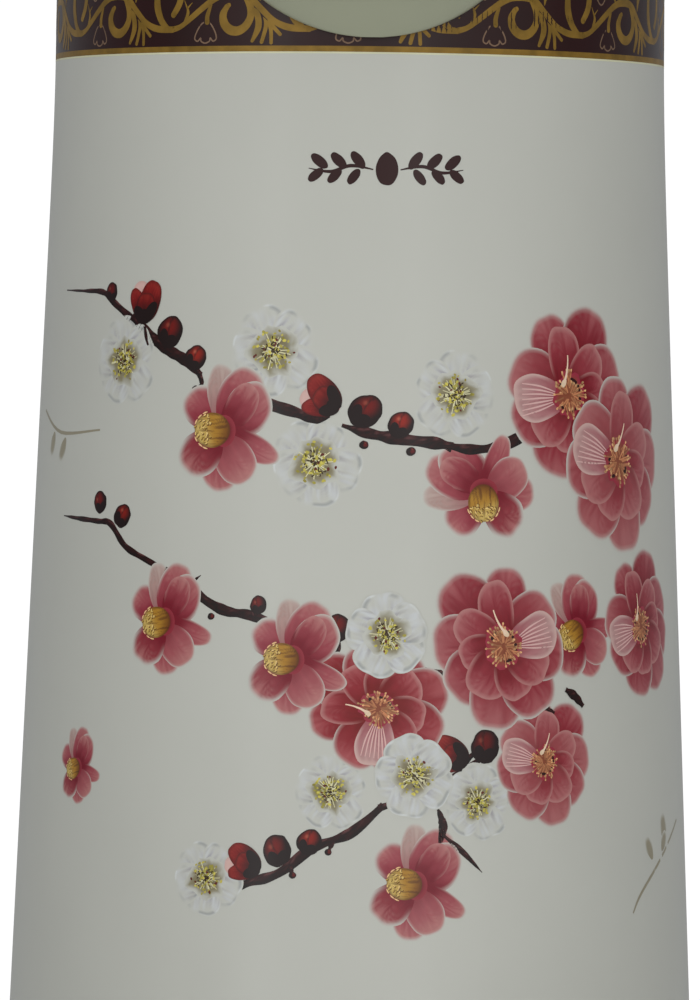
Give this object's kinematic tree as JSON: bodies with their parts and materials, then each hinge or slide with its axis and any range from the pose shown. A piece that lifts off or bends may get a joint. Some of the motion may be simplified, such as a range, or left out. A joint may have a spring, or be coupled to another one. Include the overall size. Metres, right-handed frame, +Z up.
{
  "type": "pump pot",
  "caption": "Vacuum jug with a press-to-pour lid, beak spout, swing handle, glass liner and turntable foot.",
  "frame": {"origin": "on the pot's upright axis, at the height of the table it stands on", "axes": "+Z up along the pot's axis; the spout points along -Y and the lid's hinge is at +Y; +X is to the right when seen from the spout's side"},
  "size_m": [0.1832, 0.2345, 0.3876],
  "materials": {
    "ivory_plastic": "satin moulded plastic, warm ivory",
    "pearl_paint": "glossy pearl-white paint over steel, printed with plum blossom and a brown and gold band",
    "gold_trim": "metallised gold plastic",
    "grey_plastic": "matte moulded plastic",
    "clear_plastic": "milky food-grade plastic",
    "dark_rubber": "matte rubber",
    "white_silicone": "soft silicone",
    "steel": "bright steel",
    "silvered_glass": "silvered vacuum glass"
  },
  "bodies": {
    "pot": {"base_plate": "grey_plastic", "base_ring": "ivory_plastic", "base_screw_1": "steel", "base_screw_2": "steel", "base_screw_3": "steel", "liner_seat": "ivory_plastic", "liner_pad": "white_silicone", "outer_shell": "pearl_paint", "liner_outer": "silvered_glass", "liner_inner": "silvered_glass", "mouth_gasket": "white_silicone", "collar": "ivory_plastic", "handle_pivot_right": "steel", "handle_pivot_left": "steel", "hinge_pin": "steel", "spout_hood": "ivory_plastic", "spout_nozzle": "ivory_plastic", "spout_pipe": "clear_plastic", "dip_tube": "clear_plastic", "dip_tube_foot": "ivory_plastic", "valve_housing": "ivory_plastic"},
    "turntable": {"turntable": "ivory_plastic", "foot_ring": "dark_rubber", "turntable_washer": "steel", "turntable_screw": "steel"},
    "bearing": {"ball_cage": "clear_plastic", "bearing_ball_1": "steel", "bearing_ball_2": "steel", "bearing_ball_3": "steel", "bearing_ball_4": "steel", "bearing_ball_5": "steel", "bearing_ball_6": "steel"},
    "lid": {"lid_shell": "ivory_plastic", "lid_base": "ivory_plastic", "lid_gasket": "white_silicone", "lid_screw_1": "steel", "lid_screw_2": "steel", "bellows": "white_silicone", "return_spring": "steel", "latch_spring": "steel"},
    "plate": {"push_plate": "ivory_plastic", "plate_insert": "gold_trim"},
    "latch": {"lid_latch": "ivory_plastic"},
    "lock": {"lock_slider": "gold_trim"},
    "valve": {"air_valve": "dark_rubber"},
    "ball": {"tip_ball": "steel"},
    "handle": {"handle": "ivory_plastic", "handle_cap_right": "gold_trim", "handle_cap_left": "gold_trim"}
  },
  "joints": [
    {"name": "turntable_spin", "type": "hinge", "parent": "pot", "child": "turntable", "pos_m": [0, 0, 0.006], "axis": [0, 0, 1], "continuous": true},
    {"name": "bearing_roll", "type": "hinge", "parent": "pot", "child": "bearing", "pos_m": [0, 0, 0.0089], "axis": [0, 0, 1], "continuous": true},
    {"name": "lid_hinge", "type": "hinge", "parent": "pot", "child": "lid", "pos_m": [0, 0.082, 0.337], "axis": [-1, 0, 0], "range_deg": [0, 95]},
    {"name": "pump_press", "type": "slide", "parent": "lid", "child": "plate", "axis": [0, 0, -1], "range_m": [0, 0.02], "stiffness_N_per_m": 900, "springref_m": -0.003, "deforming": ["bellows", "return_spring"]},
    {"name": "latch_press", "type": "slide", "parent": "lid", "child": "latch", "axis": [0, 1, 0], "range_m": [0, 0.0035], "stiffness_N_per_m": 1500, "springref_m": -0.001, "deforming": ["latch_spring"]},
    {"name": "lock_slide", "type": "slide", "parent": "lid", "child": "lock", "axis": [1, 0, 0], "range_m": [-0.012, 0]},
    {"name": "air_valve_lift", "type": "slide", "parent": "lid", "child": "valve", "axis": [0, 0, 1], "range_m": [0, 0.0025]},
    {"name": "tip_ball_lift", "type": "slide", "parent": "pot", "child": "ball", "axis": [0, 0, 1], "range_m": [0, 0.0018]},
    {"name": "handle_swing", "type": "hinge", "parent": "pot", "child": "handle", "pos_m": [0, 0, 0.322], "axis": [1, 0, 0], "range_deg": [0, 160]}
  ],
  "couplings": [
    {"joint": "bearing_roll", "follows": "turntable_spin", "ratio": 0.5}
  ]
}
